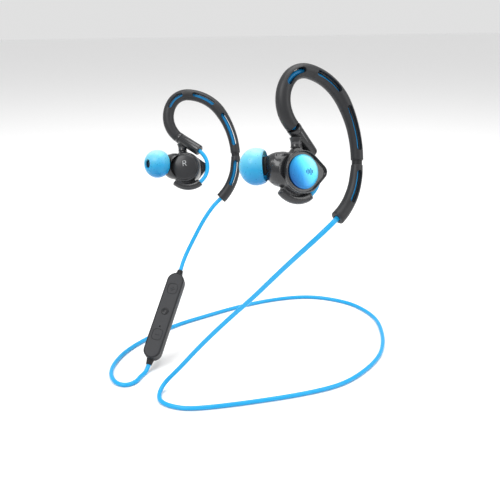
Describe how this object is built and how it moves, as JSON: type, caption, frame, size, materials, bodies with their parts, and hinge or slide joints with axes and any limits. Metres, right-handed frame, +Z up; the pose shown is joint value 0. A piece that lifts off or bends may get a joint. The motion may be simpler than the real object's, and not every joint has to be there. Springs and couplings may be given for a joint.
{
  "type": "neckband earphones",
  "caption": "Sport earphones with over-ear hooks, swivelling earbuds, a neck cord and an in-line remote.",
  "frame": {"origin": "midway between the wearer's two ears, where the head holds the earphones up", "axes": "+Z up, -Y the way the wearer faces, +X the wearer's left"},
  "size_m": [0.1402, 0.1418, 0.1384],
  "materials": {
    "soft_sleeve": "matte",
    "dark_plastic": "matte",
    "satin_plastic": "satin",
    "cover_plastic": "satin",
    "cord_jacket": "satin",
    "disc_metal": "metallic",
    "tip_silicone": "translucent",
    "steel": "satin",
    "remote_plastic": "matte",
    "remote_frame": "matte",
    "remote_skin": "matte",
    "board": "satin",
    "cell": "satin"
  },
  "bodies": {
    "headset": {"left_hook": "soft_sleeve", "left_hook_tail": "soft_sleeve", "left_tail_joint": "dark_plastic", "left_hook_cord": "cord_jacket", "left_stalk": "satin_plastic", "left_stalk_collar": "dark_plastic", "left_swivel_post": "satin_plastic", "left_swivel_clip": "steel", "left_cord_arc": "cord_jacket", "right_hook": "soft_sleeve", "right_hook_tail": "soft_sleeve", "right_tail_joint": "dark_plastic", "right_hook_cord": "cord_jacket", "right_stalk": "satin_plastic", "right_stalk_collar": "dark_plastic", "right_swivel_post": "satin_plastic", "right_swivel_clip": "steel", "right_cord_arc": "cord_jacket", "remote_back_case": "remote_plastic", "remote_front_frame": "remote_frame", "remote_button_skin": "remote_skin", "remote_circuit_board": "board", "remote_key_switches": "steel", "remote_battery": "cell", "remote_microphone": "steel", "remote_usb_socket": "steel", "remote_top_relief": "dark_plastic", "remote_bottom_relief": "dark_plastic", "cord_left": "cord_jacket", "cord_right": "cord_jacket"},
    "left_earbud": {"left_housing": "satin_plastic", "left_face_rim": "satin_plastic", "left_inner_cover": "cover_plastic", "left_face_disc": "disc_metal", "left_speaker": "steel", "left_diaphragm": "dark_plastic", "left_nozzle": "dark_plastic", "left_nozzle_mesh": "steel", "left_ear_tip": "tip_silicone", "left_cord_gland": "dark_plastic"},
    "right_earbud": {"right_housing": "satin_plastic", "right_face_rim": "satin_plastic", "right_inner_cover": "cover_plastic", "right_face_disc": "disc_metal", "right_speaker": "steel", "right_diaphragm": "dark_plastic", "right_nozzle": "dark_plastic", "right_nozzle_mesh": "steel", "right_ear_tip": "tip_silicone", "right_cord_gland": "dark_plastic"},
    "volume_up_key": {"remote_volume_up_key": "remote_skin"},
    "call_button": {"remote_call_button": "remote_skin"},
    "volume_down_key": {"remote_volume_down_key": "remote_skin"},
    "port_cover": {"remote_port_cover": "soft_sleeve"}
  },
  "joints": [
    {"name": "left_swivel", "type": "hinge", "parent": "headset", "child": "left_earbud", "pos_m": [0.05487, 0.00831, 0.00974], "axis": [-0.3038, 0.0448, 0.9517], "range_deg": [-15, 15], "deforming": ["left_cord_arc"]},
    {"name": "right_swivel", "type": "hinge", "parent": "headset", "child": "right_earbud", "pos_m": [-0.0545, -0.00751, -0.01024], "axis": [-0.3641, -0.0247, 0.931], "range_deg": [-15, 15], "deforming": ["right_cord_arc"]},
    {"name": "volume_up_key_press", "type": "slide", "parent": "headset", "child": "volume_up_key", "axis": [-0.6781, 0.274, -0.682], "range_m": [0, 0.0003], "stiffness_N_per_m": 400},
    {"name": "call_button_press", "type": "slide", "parent": "headset", "child": "call_button", "axis": [-0.6781, 0.274, -0.682], "range_m": [0, 0.0003], "stiffness_N_per_m": 400},
    {"name": "volume_down_key_press", "type": "slide", "parent": "headset", "child": "volume_down_key", "axis": [-0.6781, 0.274, -0.682], "range_m": [0, 0.0003], "stiffness_N_per_m": 400},
    {"name": "port_cover_hinge", "type": "hinge", "parent": "headset", "child": "port_cover", "pos_m": [-0.02483, -0.03232, -0.08063], "axis": [0.6781, -0.274, 0.682], "range_deg": [0, 90]}
  ]
}
